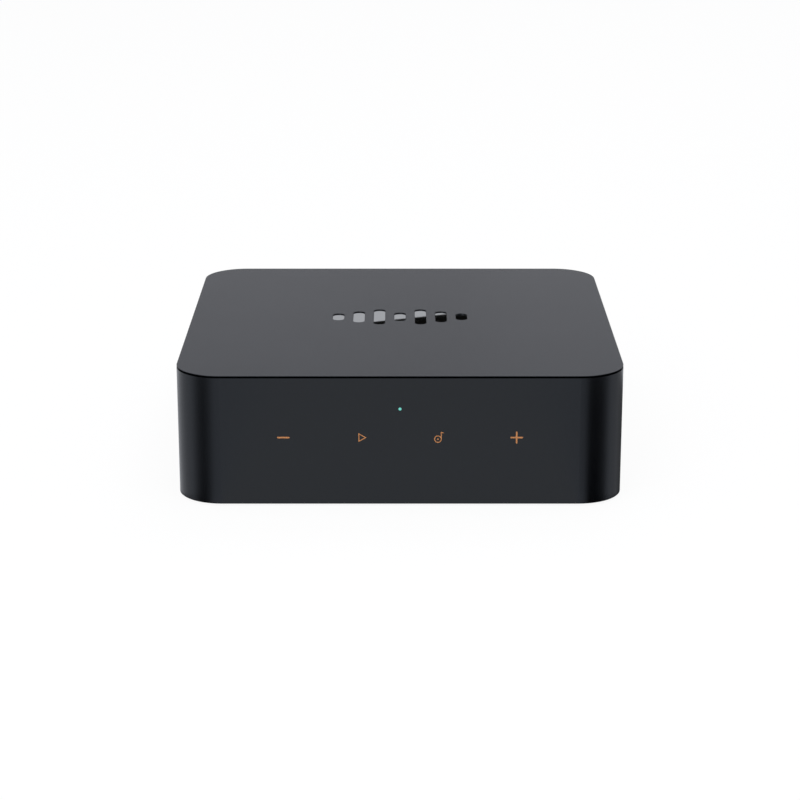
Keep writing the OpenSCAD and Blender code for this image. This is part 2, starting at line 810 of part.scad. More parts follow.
module base_plate() {
    rim = wall - ledge + base_fit;
    color("#1b1c1e") difference() {
        union() {
            slab(body_w - 2 * rim, body_d - 2 * rim, corner_r - rim, shell_z, base_z);
            for (p = pillars)
                translate([p.x, p.y, recess_z]) cylinder(r = pillar_r + boss_t, h = boss_z - recess_z);
            for (p = board_holes)
                translate([p.x, p.y, recess_z]) cylinder(r = post_r, h = board_z - recess_z);
        }
        translate([0, 0, shell_z - past]) linear_extrude(recess_z - shell_z + past) foot_shape(base_fit);
        for (p = pillars)
            translate([p.x, p.y, 0]) {
                cylinder(r = case_head_r + 2 * screw_fit, h = recess_z + case_head_h + screw_fit);
                cylinder(r = case_screw_r + 2 * screw_fit, h = boss_z + past);
            }
        for (p = board_holes)
            translate([p.x, p.y, board_z - small_grip - tip_room])
                cylinder(r = small_screw_r + screw_fit, h = small_grip + tip_room + past);
    }
}

module foot_shape(grow = 0) {
    w = body_w - 2 * foot_inset + 2 * grow;
    d = body_d - 2 * foot_inset + 2 * grow;
    rounded_square(w, d, corner_r - foot_inset + grow);
}

module foot_pad() {
    color("#242426") linear_extrude(foot_t) foot_shape();
}

module case_screws() {
    head_z = recess_z + case_head_h + screw_fit;
    color("#3a3a3c") for (p = pillars)
        translate([p.x, p.y, head_z])
            screw(case_screw_r, boss_z - head_z + case_grip, case_head_r, case_head_h);
}

// Front

module key(place) {
    translate([place * key_pitch, key_z]) children();
}

module sign_stroke(angle, grow) {
    reach = (sign_w - sign_line) / 2;
    rotate(angle) stroke([-reach, 0], [reach, 0], sign_line + 2 * grow);
}

module minus_shape(grow = 0) {
    key(-1.5) sign_stroke(0, grow);
}

module plus_shape(grow = 0) {
    key(1.5) for (a = [0, 90])
        sign_stroke(a, grow);
}

// A triangle's outline, drawn about the circle that fits in the triangle
module play_shape(grow = 0) {
    in_circle_r = play_w * play_h / (play_h + 2 * norm([play_w, play_h / 2]));
    ends = [[-in_circle_r, -play_h / 2], [play_w - in_circle_r, 0], [-in_circle_r, play_h / 2]];
    half_line = thin_line / 2 + grow;
    key(-0.5) difference() {
        polygon((1 + half_line / in_circle_r) * ends);
        polygon((1 - half_line / in_circle_r) * ends);
    }
}

// A ring with a dot in it and a flagged stem at its side
module preset_shape(grow = 0) {
    stem_x = (ring_d - thin_line) / 2;
    low = (ring_d / 2 - stem_h) / 2;
    key(0.5) translate([-flag_w / 2, low]) {
        difference() {
            circle(d = ring_d + 2 * grow);
            circle(d = ring_d - 2 * thin_line - 2 * grow);
        }
        circle(d = dot_d + 2 * grow);
        stroke([stem_x, 0], [stem_x, stem_h], thin_line + 2 * grow);
        stroke([stem_x, stem_h], [stem_x + flag_w, stem_h - flag_drop], thin_line + 2 * grow);
    }
}

module mark() {
    color("#b07a5c") upright(front_y, front_y + mark_t) children();
}

module minus_mark() {
    mark() minus_shape();
}

module play_mark() {
    mark() play_shape();
}

module preset_mark() {
    mark() preset_shape();
}

module plus_mark() {
    mark() plus_shape();
}

module indicator_lens() {
    color("#74d8ca") {
        bar(0, lens_z, lens_d / 2, front_y, front_y + lens_web + lens_flange_t / 2);
        bar(0, lens_z, lens_flange_d / 2, front_y + lens_web, front_y + lens_web + lens_flange_t);
    }
}

module indicator_light() {
    lens_back_y = front_y + lens_web + lens_flange_t;
    color("#e8f4f0") block([-light_w / 2, lens_back_y + light_gap, lens_z - light_h / 2],
        [light_w / 2, film_y, lens_z + light_h / 2]);
}

// The touch board's outline
module touch_shape() {
    translate([-touch_w / 2, key_z - touch_drop]) square([touch_w, touch_h]);
}

module electrode_shape(grow = 0) {
    for (i = [-1.5 : 1 : 1.5])
        key(i) circle(d = electrode_d + 2 * grow);
}

module touch_film() {
    color("#d8d4c4") upright(front_in_y, film_y) difference() {
        touch_shape();
        electrode_shape(film_gap);
        translate([0, lens_z]) circle(d = lens_flange_d + 2 * film_gap);
    }
}

module touch_electrodes() {
    color("#c98a4b") upright(front_in_y, film_y) electrode_shape();
}

module touch_board() {
    color("#15402c") upright(film_y, touch_back_y) touch_shape();
}

module touch_chip() {
    color("#1a1a1c") upright(touch_back_y, touch_back_y + chip_h)
        key(1) square(touch_chip_w, center = true);
}

// Ribbon

module touch_socket() {
    color("#e6e2d6") difference() {
        block([-socket_w / 2, touch_back_y, ribbon_top_z - socket_len / 2],
            [socket_w / 2, ribbon_top_y, ribbon_top_z + socket_len / 2]);
        ribbon_slot(ribbon_top_y - slot_depth, ribbon_top_y + past, ribbon_top_z);
    }
}

module main_socket() {
    color("#e6e2d6") difference() {
        block([-socket_w / 2, ribbon_low_y, deck_z],
            [socket_w / 2, ribbon_low_y + socket_len, deck_z + socket_h]);
        ribbon_slot(ribbon_low_y - past, ribbon_low_y + slot_depth, ribbon_low_z);
    }
}

module ribbon_slot(y0, y1, z) {
    reach = [ribbon_w / 2 + ribbon_fit, ribbon_t / 2 + ribbon_fit];
    block([-reach.x, y0, z - reach.y], [reach.x, y1, z + reach.y]);
}

// The ribbon leaves each socket straight and sags between them
module ribbon() {
    start = [ribbon_top_y - slot_depth + ribbon_fit, ribbon_top_z];
    end = [ribbon_low_y + slot_depth - ribbon_fit, ribbon_low_z];
    straight = [socket_h, 0];
    curl = [4 * socket_h, socket_h / 2];
    route = smooth([start, start + straight, start + straight + curl, (start + end) / 2,
        end - straight - curl, end - straight, end], 6);
    side = [for (v = headings(route)) [-v.y, v.x] * ribbon_t / 2];
    last = len(route) - 1;
    edge = concat([for (i = [0 : last]) route[i] + side[i]], [for (i = [last : -1 : 0]) route[i] - side[i]]);
    color("#e9e6dc") translate([-ribbon_w / 2, 0, 0]) rotate([90, 0, 90])
        linear_extrude(ribbon_w) polygon(edge);
}

// Boards

module main_board() {
    middle = [0, (board_front_y + board_rear_y) / 2];
    color("#163d2b") difference() {
        chip(middle, board_z, board_w, board_d, board_t);
        for (p = board_holes)
            translate([p.x, p.y, board_z - past])
                cylinder(r = small_screw_r + 3 * screw_fit, h = board_t + 2 * past);
    }
}

module board_screws() {
    color("#9a9a98") for (p = board_holes)
        translate([p.x, p.y, deck_z]) mirror([0, 0, 1])
            screw(small_screw_r, board_t + small_grip, small_head_r, small_head_h);
}

module module_board() {
    color("#1d2b52") chip(module_mid, deck_z, module_w, module_d, module_t);
}

module shield_can() {
    color("#b8bab8") difference() {
        chip(module_mid, can_z, can_w, can_d, can_h);
        chip(module_mid, can_z - past, can_w - 2 * can_t, can_d - 2 * can_t, can_h - can_t + past);
    }
}

module thermal_pad() {
    color("#8aa0b8") chip(module_mid, pad_z, can_w - 2 * pad_inset, can_d - 2 * pad_inset, pad_t);
}

module heat_spreader() {
    color("#a9adb0") difference() {
        translate(module_mid) slab(spreader_w, spreader_d, spreader_r, spreader_z, spreader_z + spreader_t);
        for (p = spreader_holes)
            translate([p.x, p.y, spreader_z - past])
                cylinder(r = small_screw_r + 3 * screw_fit, h = spreader_t + 2 * past);
    }
}

module spreader_posts() {
    color("#b59a52") for (p = spreader_holes)
        difference() {
            translate([p.x, p.y, deck_z]) cylinder(r = hex_r, h = spreader_z - deck_z, $fn = 6);
            translate([p.x, p.y, spreader_z - small_grip - tip_room])
                cylinder(r = small_screw_r + screw_fit, h = small_grip + tip_room + past);
        }
}

module spreader_screws() {
    color("#9a9a98") for (p = spreader_holes)
        translate([p.x, p.y, spreader_z + spreader_t]) mirror([0, 0, 1])
            screw(small_screw_r, spreader_t + small_grip, small_head_r, small_head_h);
}

// Parts on the main board

module amplifier_chips() {
    color("#1a1a1c") for (i = [0, 2])
        chip([row_x(i), row_y], deck_z, amp_w, amp_d, chip_h);
}

module capacitors() {
    color("#a8a8ac") for (i = [1, 3, 5, 6])
        union() {
            chip([row_x(i), row_y], deck_z, cap_d, cap_d, cap_foot_h);
            translate([row_x(i), row_y, deck_z]) cylinder(d = cap_d - 2 * cap_foot_rim, h = cap_h);
        }
}

module converter_chip() {
    color("#1a1a1c") chip([row_x(4), row_y], deck_z, dac_w, dac_w, chip_h);
}

module network_chip() {
    color("#1a1a1c") chip([row_x(7), row_y], deck_z, net_chip_w, net_chip_w, chip_h);
}

module network_transformer() {
    color("#1a1a1c") chip([row_x(8), row_y], deck_z, net_coil_w, net_coil_d, net_coil_h);
}

module crystals() {
    color("#c8c8c4") for (i = [4, 7])
        chip([row_x(i), row_y + crystal_back], deck_z, crystal_w, crystal_d, chip_h);
}

module inductors() {
    step = coil_w + coil_gap;
    color("#3c3c3e") for (i = [0.5, 1.5])
        chip([usb_x, usb_y - usb_len - coil_gap / 2 - i * step], deck_z, coil_w, coil_w, coil_h);
}

// Antennas

module antennas() {
    low_z = antenna_mid_z - antenna_h / 2;
    color("#2a2620") for (s = [-1, 1])
        chip([s * (antenna_x - antenna_t / 2), plug_y], low_z, antenna_t, antenna_w, antenna_h);
}

module antenna_plugs() {
    color("#c9a24a") for (s = [-1, 1])
        translate([s * plug_x, plug_y, can_z]) cylinder(r = plug_r, h = plug_h);
}

// Each lead leaves its plug, goes round the front of the board and climbs to its antenna
module antenna_leads() {
    wall_x = antenna_x - antenna_t - lead_r - lead_gap;
    start_x = plug_x + plug_r + lead_gap;
    front = board_front_y - 2 * lead_r;
    route = [[start_x, plug_y, lead_z], [start_x + 1.5 * plug_r, plug_y, lead_z],
        [start_x + 3 * plug_r, plug_y - plug_r, lead_z], [start_x + 4 * plug_r, plug_y - 4 * plug_r, lead_z],
        [(start_x + spreader_w / 2) / 2, front, lead_z + lead_r],
        [spreader_w / 2, front - 3 * lead_r, lead_z + 5 * lead_r],
        [wall_x - antenna_h, front, antenna_mid_z - antenna_h],
        [wall_x - 4 * lead_r, plug_y - antenna_h / 2, antenna_mid_z - antenna_h / 2],
        [wall_x - 1.5 * lead_r, plug_y, antenna_mid_z], [wall_x, plug_y + antenna_h / 2, antenna_mid_z]];
    color("#222224") for (s = [-1, 1])
        tube(smooth([for (p = route) [s * p.x, p.y, p.z]], 5), lead_r, [0, 0, 1], 8);
}

// Rear panel

module rear_panel() {
    color("#141516") difference() {
        union() {
            upright(seat_y, panel_y) translate([0, panel_z])
                rounded_square(panel_w - 2 * panel_fit, panel_h - 2 * panel_fit, panel_r - panel_fit);
            upright(seat_y, rear_in_y) translate([0, panel_z])
                square([panel_w + 2 * flange_reach, panel_h + 2 * flange_reach], center = true);
        }
        for (p = ports)
            bar(p.x, p.y, root_r + root_gap, seat_y - past, rear_y);
        bar(jack_screw_x, jack_screw_z, small_screw_r + 2 * screw_fit, seat_y - past, rear_y);
        bar(trigger_x, jack_z, bush_r + cut_fit, seat_y - past, rear_y);
        upright(seat_y - past, rear_y) {
            for (x = optical_xs)
                socket_hole(x, optical_w, optical_h);
            socket_hole(lan_x, lan_w, lan_h);
            translate([usb_x, usb_z])
                rounded_square(usb_w + 2 * cut_fit, usb_h + 2 * cut_fit, usb_h / 2 + cut_fit - round_off);
        }
    }
}

// The hole for a square socket that stands on the main board
module socket_hole(x, w, h) {
    translate([x - w / 2 - cut_fit, deck_z - cut_fit]) square([w + 2 * cut_fit, h + 2 * cut_fit]);
}

// Phono sockets

module phono_blocks() {
    half = block_w / 2;
    back_y = seat_y - block_d;
    tip_y = panel_y - jack_screw_len - tip_room;
    color("#1c1c1e") difference() {
        union() {
            block([line_out_x - half, back_y, deck_z], [line_in_x + half, seat_y, high_z + block_over]);
            block([coax_x - half, back_y, deck_z], [coax_x + half, seat_y, low_z + block_over]);
        }
        for (p = ports) {
            bar(p.x, p.y, root_r + phono_fit, root_y, seat_y + past);
            bar(p.x, p.y, pin_hole_r + contact_t + phono_fit, contact_y, root_y + past);
        }
        bar(jack_screw_x, jack_screw_z, small_screw_r + screw_fit, tip_y, seat_y + past);
    }
}

// A barrel is slimmer where it passes through the panel, and its step holds the collar
module phono_barrels() {
    color("#c9c9c4") for (p = ports)
        difference() {
            union() {
                bar(p.x, p.y, root_r, root_y, tip_y);
                bar(p.x, p.y, barrel_r, collar_y, tip_y);
            }
            bar(p.x, p.y, barrel_in_r, root_y - past, tip_y + past);
        }
}

// The coloured core inside a barrel and the collar round it
module insulator(p) {
    sleeve(p.x, p.y, barrel_in_r - phono_fit, pin_hole_r, root_y, face_y);
    sleeve(p.x, p.y, collar_r, root_r + phono_fit, panel_y, collar_y);
}

module left_insulators() {
    color("#e8e6e0") for (x = [line_in_x, line_out_x])
        insulator([x, high_z]);
}

module right_insulators() {
    color("#b3211f") for (x = [line_in_x, line_out_x])
        insulator([x, low_z]);
}

module coax_insulator() {
    color("#d9731a") insulator(coax_port);
}

module phono_contacts() {
    color("#c9a24a") for (p = ports)
        sleeve(p.x, p.y, pin_hole_r + contact_t, pin_hole_r, contact_y, root_y);
}

module jack_screw() {
    color("#2a2a2c") translate([jack_screw_x, panel_y, jack_screw_z]) rotate([90, 0, 0])
        screw(small_screw_r, jack_screw_len, small_head_r, small_head_h);
}

// Optical sockets

module port_shape() {
    x = port_w / 2;
    z = port_h / 2;
    translate([0, port_z]) polygon([
        [-x, z], [x, z], [x, port_cut - z], [x - port_cut, -z], [port_cut - x, -z], [-x, port_cut - z]]);
}

module optical_housings() {
    color("#1c1c1e") for (x = optical_xs)
        translate([x, 0, 0]) {
            difference() {
                block([-optical_w / 2, optical_back_y, deck_z], [optical_w / 2, panel_y, deck_z + optical_h]);
                block([-bay_x, optical_floor_y, bay_low_z], [bay_x, bay_y, bay_high_z]);
                upright(bay_y - past, panel_y + past) port_shape();
                hinge_pin(hinge_r + hinge_fit, optical_w / 2 + past);
            }
            sleeve(0, port_z, sleeve_hole_r + sleeve_t, sleeve_hole_r,
                optical_floor_y, optical_floor_y + sleeve_len);
        }
}

// A round bar along a shutter's hinge
module hinge_pin(r, reach) {
    translate([-reach, hinge_y, hinge_z]) rotate([0, 90, 0]) cylinder(r = r, h = 2 * reach);
}

// A shutter hanging closed behind its port, notched at one end for its spring
module shutter(x) {
    color("#202022") translate([x, 0, 0]) {
        difference() {
            union() {
                block([-shutter_x, shutter_y - shutter_t, bay_low_z + shutter_gap],
                    [shutter_x, shutter_y, hinge_z]);
                hinge_pin(knuckle_r, shutter_x);
            }
            block([shutter_x - spring_room, hinge_y - 2 * knuckle_r, hinge_z - spring_notch],
                [bay_x, bay_y, bay_high_z]);
        }
        hinge_pin(hinge_r, optical_w / 2 - pin_sink);
    }
}

module output_shutter() {
    shutter(optical_out_x);
}

module input_shutter() {
    shutter(optical_in_x);
}

// A torsion spring round the pin, one leg under the roof and one behind the shutter
module shutter_springs() {
    start = shutter_x - spring_room + spring_start;
    steps = round(spring_turns * 10);
    coil = [for (i = [0 : steps]) let (a = 360 * spring_turns * i / steps)
        [start + spring_pitch * spring_turns * i / steps,
            hinge_y - spring_r * sin(a), hinge_z + spring_r * cos(a)]];
    head = coil[0] - [0, spring_leg, 0];
    foot = coil[steps] - [0, 0, spring_leg];
    color("#b0b0ac") for (x = optical_xs)
        translate([x, 0, 0]) tube(concat([head], coil, [foot]), wire_r, [1, 0, 0], 6);
}

module optical_elements() {
    color("#8a2a2a") for (x = optical_xs)
        bar(x, port_z, sleeve_hole_r - phono_fit, optical_floor_y, optical_floor_y + element_t);
}

// Trigger jack

module trigger_jack() {
    leaf_y = jack_back_y + leaf_back;
    half = leaf_w / 2 + leaf_gap;
    color("#1c1c1e") difference() {
        block([trigger_x - jack_w / 2, jack_back_y, deck_z],
            [trigger_x + jack_w / 2, seat_y, deck_z + jack_h]);
        bar(trigger_x, jack_z, jack_hole_r, jack_back_y + jack_back_t, seat_y + past);
        block([trigger_x, leaf_y, jack_z - half], [trigger_x + jack_w, leaf_y + leaf_len, jack_z + half]);
    }
}

module trigger_bush() {
    color("#c9c9c4") sleeve(trigger_x, jack_z, bush_r, jack_hole_r, seat_y, bush_y);
}

module trigger_contact() {
    x = trigger_x + jack_hole_r + leaf_gap;
    leaf_y = jack_back_y + leaf_back;
    color("#c9a24a") block([x, leaf_y, jack_z - leaf_w / 2],
        [x + leaf_t, leaf_y + leaf_len, jack_z + leaf_w / 2]);
}

// Network socket

module lan_shield() {
    half = lan_w / 2;
    color("#bfc0bc") difference() {
        block([lan_x - half, lan_back_y, deck_z], [lan_x + half, lan_y, deck_z + lan_h]);
        block([lan_x - half + lan_sheet, lan_back_y + lan_sheet, deck_z - past],
            [lan_x + half - lan_sheet, lan_y + past, deck_z + lan_h - lan_sheet]);
    }
}

// A slot in the network socket, centred on it and open at its face
module lan_slot(w, z0, z1, depth) {
    block([lan_x - w / 2, lan_y - depth, z0], [lan_x + w / 2, lan_y + past, z1]);
}

module lan_body() {
    half = lan_w / 2 - lan_sheet;
    catch_z = lan_port_z - latch_h - catch_h;
    color("#1c1c1e") difference() {
        block([lan_x - half, lan_back_y + lan_sheet, deck_z],
            [lan_x + half, panel_y, deck_z + lan_h - lan_sheet]);
        lan_slot(lan_port_w, lan_port_z, lan_roof_z, lan_depth);
        lan_slot(latch_w, lan_port_z - latch_h, lan_roof_z, lan_depth);
        lan_slot(catch_w, catch_z, lan_roof_z, catch_depth);
        upright(panel_y - window_depth, lan_y + past) window_shape(window_fit);
    }
}

module window_shape(grow = 0) {
    for (s = [-1, 1])
        translate([lan_x + s * (lan_port_w - window_w) / 2, lan_roof_z + window_lift])
            square([window_w + 2 * grow, window_h + 2 * grow], center = true);
}

module lan_lights() {
    color("#c8d8a0") upright(panel_y - window_depth, panel_y) window_shape();
}

// Contact wires that hang from the port's roof and run back to its end
module lan_contacts() {
    back = lan_y - lan_depth;
    front = lan_y - wire_sink;
    low = lan_roof_z - wire_hang;
    color("#d4ad55") for (i = [0 : lan_ways - 1])
        translate([lan_x + (i - (lan_ways - 1) / 2) * contact_pitch - wire_w / 2, 0, 0])
            rotate([90, 0, 90]) linear_extrude(wire_w) polygon([
                [front, lan_roof_z], [front, lan_roof_z - wire_w], [back + wire_hang, low], [back, low],
                [back, low + wire_w], [back + wire_hang, low + wire_w], [front - 2 * wire_w, lan_roof_z]]);
}

// Power socket

module usb_shell() {
    color("#c4c5c2") difference() {
        upright(usb_y - usb_len, usb_y) translate([usb_x, usb_z])
            rounded_square(usb_w, usb_h, usb_h / 2 - round_off);
        upright(usb_floor_y, usb_y + past) translate([usb_x, usb_z])
            rounded_square(usb_in_w, usb_in_h, usb_in_h / 2 - round_off);
    }
}

module usb_tongue() {
    w = usb_in_w - 2 * tongue_fit;
    h = usb_in_h - 2 * tongue_fit;
    tip = usb_floor_y + tongue_root + tongue_len;
    color("#1c1c1e") union() {
        upright(usb_floor_y, usb_floor_y + tongue_root) translate([usb_x, usb_z])
            rounded_square(w, h, h / 2 - round_off);
        block([usb_x - tongue_w / 2, usb_floor_y, usb_z - tongue_t / 2],
            [usb_x + tongue_w / 2, tip, usb_z + tongue_t / 2]);
    }
}

top_cover();
top_emblem();
shell();
rear_panel();
base_plate();
foot_pad();
case_screws();
minus_mark();
play_mark();
preset_mark();
plus_mark();
indicator_lens();
touch_film();
touch_electrodes();
touch_board();
touch_chip();
indicator_light();
touch_socket();
ribbon();
main_socket();
main_board();
board_screws();
module_board();
shield_can();
thermal_pad();
heat_spreader();
spreader_posts();
spreader_screws();
converter_chip();
amplifier_chips();
network_chip();
network_transformer();
inductors();
capacitors();
crystals();
antennas();
antenna_leads();
antenna_plugs();
phono_blocks();
phono_barrels();
left_insulators();
right_insulators();
coax_insulator();
phono_contacts();
jack_screw();
optical_housings();
output_shutter();
input_shutter();
shutter_springs();
optical_elements();
trigger_jack();
trigger_bush();
trigger_contact();
lan_shield();
lan_body();
lan_contacts();
lan_lights();
usb_shell();
usb_tongue();
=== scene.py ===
# Network music streamer, dressed for its studio picture
import bmesh
import bpy
import json
import math
from mathutils import Matrix, Vector


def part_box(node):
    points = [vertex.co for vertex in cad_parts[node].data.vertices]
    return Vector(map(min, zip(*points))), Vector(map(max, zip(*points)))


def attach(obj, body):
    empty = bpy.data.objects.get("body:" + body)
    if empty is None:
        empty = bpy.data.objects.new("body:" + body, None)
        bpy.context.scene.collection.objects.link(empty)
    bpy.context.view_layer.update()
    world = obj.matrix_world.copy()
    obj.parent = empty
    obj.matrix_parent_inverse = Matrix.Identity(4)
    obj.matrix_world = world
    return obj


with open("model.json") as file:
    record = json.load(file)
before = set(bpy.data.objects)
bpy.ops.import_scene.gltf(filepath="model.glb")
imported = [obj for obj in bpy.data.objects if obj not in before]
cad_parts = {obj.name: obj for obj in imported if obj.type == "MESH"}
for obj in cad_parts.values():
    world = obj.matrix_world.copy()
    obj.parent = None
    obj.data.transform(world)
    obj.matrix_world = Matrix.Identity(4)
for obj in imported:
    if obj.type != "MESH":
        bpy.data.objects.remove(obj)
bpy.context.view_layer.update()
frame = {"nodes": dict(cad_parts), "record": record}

scene = bpy.context.scene
nodeObjects = frame["nodes"]
scene.view_settings.view_transform = "Standard"
print("frame loaded:", len(nodeObjects), "nodes")


def addObject(name, data):
    added = bpy.data.objects.new(name, data)
    scene.collection.objects.link(added)
    return added


# Camera

cameraSetup = {
    "lens": 102.01,                          # mm
    "sensor": 36,                            # mm
    "place": (0.0, -0.73855, 0.23820),
    "downTilt": 16.959,                      # degrees
    "nearClip": 0.01,
    "farClip": 50,
}


def makeCamera(setup):
    data = bpy.data.cameras.new("photoCamera")
    data.lens = setup["lens"]
    data.sensor_width = setup["sensor"]
    data.clip_start = setup["nearClip"]
    data.clip_end = setup["farClip"]
    camera = addObject("photoCamera", data)
    camera.location = setup["place"]
    camera.rotation_euler = (math.radians(90 - setup["downTilt"]), 0, 0)
    scene.camera = camera


makeCamera(cameraSetup)
print("camera set")


# Small helpers for node trees

# Sets a node's inputs, each by a link, a colour or a number
def feed(tree, node, values):
    for name, value in values.items():
        socket = node.inputs[name]
        if isinstance(value, bpy.types.NodeSocket):
            tree.links.new(value, socket)
        elif isinstance(value, tuple):
            socket.default_value = (*value, 1)
        else:
            socket.default_value = value


def addNode(tree, kind, values=None, **settings):
    node = tree.nodes.new(kind)
    for name, setting in settings.items():
        setattr(node, name, setting)
    feed(tree, node, values or {})
    return node


def mathNode(tree, operation, first, second, clamp=False):
    node = addNode(tree, "ShaderNodeMath", {0: first, 1: second}, operation=operation, use_clamp=clamp)
    return node.outputs["Value"]


# Noise as a swing to either side of nought
def swing(tree, noise, amount):
    return mathNode(tree, "MULTIPLY", mathNode(tree, "SUBTRACT", noise, 0.5), amount)


# Noise as a rise from a base value
def rise(tree, noise, amount, base):
    return mathNode(tree, "ADD", mathNode(tree, "MULTIPLY", noise, amount), base)


# Grey that goes from the first level to the second between two edges
def rampNode(tree, factor, edges, levels):
    node = addNode(tree, "ShaderNodeValToRGB", {"Fac": factor})
    for element, edge, level in zip(node.color_ramp.elements, edges, levels):
        element.position = edge
        element.color = (level, level, level, 1)
    return node.outputs["Color"]


def mixColour(tree, factor, first, second, blend="MIX"):
    values = {0: factor, 6: first, 7: second}    # the node's colour sockets share names with others
    node = addNode(tree, "ShaderNodeMix", values, data_type="RGBA", blend_type=blend)
    return node.outputs[2]


def noiseNode(tree, coords, scale, detail=2.0, roughness=0.5):
    values = {"Vector": coords, "Scale": scale, "Detail": detail, "Roughness": roughness}
    return addNode(tree, "ShaderNodeTexNoise", values).outputs["Fac"]


def objectCoords(tree):
    return addNode(tree, "ShaderNodeTexCoord").outputs["Object"]


def bumpInto(tree, shader, height, strength, depth):
    bump = addNode(tree, "ShaderNodeBump", {"Height": height, "Strength": strength, "Distance": depth})
    feed(tree, shader, {"Normal": bump.outputs["Normal"]})


# Material with nothing but its output
def bareMaterial(name):
    mat = bpy.data.materials.new(name)
    mat.use_nodes = True
    mat.node_tree.nodes.clear()
    return mat, mat.node_tree, addNode(mat.node_tree, "ShaderNodeOutputMaterial")


def startMaterial(name):
    mat = bpy.data.materials.new(name)
    mat.use_nodes = True
    return mat, mat.node_tree, mat.node_tree.nodes["Principled BSDF"]


# Stage: floor, backdrop, lamps and the cards that the glossy faces mirror

stageSetup = {
    "floorRadius": 4.5,
    "floorDrop": 0.0002,                     # keeps the floor off the foot pad's own face
    "sweepRadius": 0.6,                      # the floor turns up at its rim
    "sweepSteps": 8,
    "roundSteps": 96,
    "floorColour": (0.90, 0.90, 0.90),
    "floorGlow": 0.92,                       # share of plain white where the floor is seen
    "backdrop": (0.470, 0.480, 0.522),
}


def floorMesh(setup):
    steps, count = setup["sweepSteps"], setup["roundSteps"]
    turns = [2 * math.pi * k / count for k in range(count)]
    points = []
    for i in range(steps + 1):
        lean = math.radians(90 * i / steps)
        radius = setup["floorRadius"] + setup["sweepRadius"] * math.sin(lean)
        height = setup["sweepRadius"] * (1 - math.cos(lean)) - setup["floorDrop"]
        points += [(radius * math.cos(turn), radius * math.sin(turn), height) for turn in turns]
    faces = [tuple(range(count))]
    for i in range(steps):
        for k in range(count):
            low, following = i * count, (k + 1) % count
            faces.append((low + k, low + count + k, low + count + following, low + following))
    mesh = bpy.data.meshes.new("studioFloor")
    mesh.from_pydata(points, [], faces)
    return mesh


def makeFloor(setup):
    mat, tree, out = bareMaterial("studioFloor")
    paint = addNode(tree, "ShaderNodeBsdfDiffuse", {"Color": setup["floorColour"]})
    glow = addNode(tree, "ShaderNodeEmission")   # white, at a strength of 1
    path = addNode(tree, "ShaderNodeLightPath")
    seen = mathNode(tree, "MAXIMUM", path.outputs["Is Camera Ray"], path.outputs["Is Glossy Ray"])
    seen = mathNode(tree, "MAXIMUM", seen, path.outputs["Is Transmission Ray"])
    share = mathNode(tree, "MULTIPLY", seen, setup["floorGlow"])
    mix = addNode(tree, "ShaderNodeMixShader", {
        0: share, 1: paint.outputs["BSDF"], 2: glow.outputs["Emission"]})
    feed(tree, out, {"Surface": mix.outputs["Shader"]})
    mesh = floorMesh(setup)
    mesh.materials.append(mat)
    floor = addObject("studioFloor", mesh)


def makeBackdrop(setup):
    world = bpy.data.worlds.new("studioBackdrop")
    world.use_nodes = True
    scene.world = world
    feed(world.node_tree, world.node_tree.nodes["Background"], {"Color": setup["backdrop"]})


lampSetup = {
    "overheadSoftbox": {"place": (0.0, -0.25, 1.15), "aim": (0, 0, 0), "size": (1.5, 1.2), "power": 9.0},
    "frontSoftbox": {"place": (-0.9, -1.6, 0.9), "aim": (0, 0, 0.02), "size": (1.0, 0.8), "power": 9.0},
    "rearSoftbox": {"place": (0.3, 1.2, 1.6), "aim": (0, 0, 0.02), "size": (1.0, 0.8), "power": 8.0},
}


def makeLamps(setup):
    for name, lamp in setup.items():
        data = bpy.data.lights.new(name, "AREA")
        data.shape = "RECTANGLE"
        data.size, data.size_y = lamp["size"]
        data.energy = lamp["power"]
        holder = addObject(name, data)
        holder.location = lamp["place"]
        beam = Vector(lamp["aim"]) - Vector(lamp["place"])
        holder.rotation_euler = beam.to_track_quat("-Z", "Y").to_euler()


# Cards that only the glossy faces mirror: painted dark reflections in bands beside the corners, a painted
# shadow black under the case and a painted dark reflection behind the emblem

cardSetup = {
    # Each band is a row of (degrees round a corner from its front or rear face, tone of the painted
    # reflection)
    "leftReflectionBand": [(0, 0.97), (10, 0.82), (15, 0.38), (20, 0.14), (25, 0.09), (30, 0.24), (40, 0.80),
                 (45, 0.84), (50, 0.72), (88, 0.70)],
    "rightReflectionBand": [(0, 1.00), (5, 0.84), (10, 0.46), (14, 0.004), (24, 0.004), (30, 0.08), (35, 0.20),
                  (40, 0.54), (45, 0.76), (55, 0.48), (60, 0.44), (70, 0.12), (88, 0.14)],
    "rearReflectionBand": [(0, 1.00), (10, 0.80), (20, 0.10), (30, 0.10), (40, 0.80), (50, 1.00)],
    # How far a band runs out from its corner, by the same degrees
    "reach": [(0, 0.30), (50, 0.30), (62, 0.16), (75, 0.13), (88, 0.13)],
    "reflectionBandTint": (0.95, 0.98, 1.05),
    "bandStep": 2,                           # degrees
    "cornerRadius": 0.0143,                  # of the case
    "standOff": 0.0002,                      # between the case and a band's foot
    "lift": 0.0003,                          # above the table, clear of the floor
    # tone of the painted shadow card and the painted dark reflection card
    "black": 0.004,
    "shadowCardMargin": 0.0004,                   # the painted-shadow card reaches this far past the case
    # Black card that only glossy rays see: a painted dark reflection in the emblem
    "emblemReflectionCard": [(-0.080, 0.4500), (0.080, 0.4326), (0.080, 0.4600), (-0.080, 0.4600)],
    "emblemReflectionCardBack": 1.5,                   # how far behind the case the emblem's painted dark reflection card hangs
}
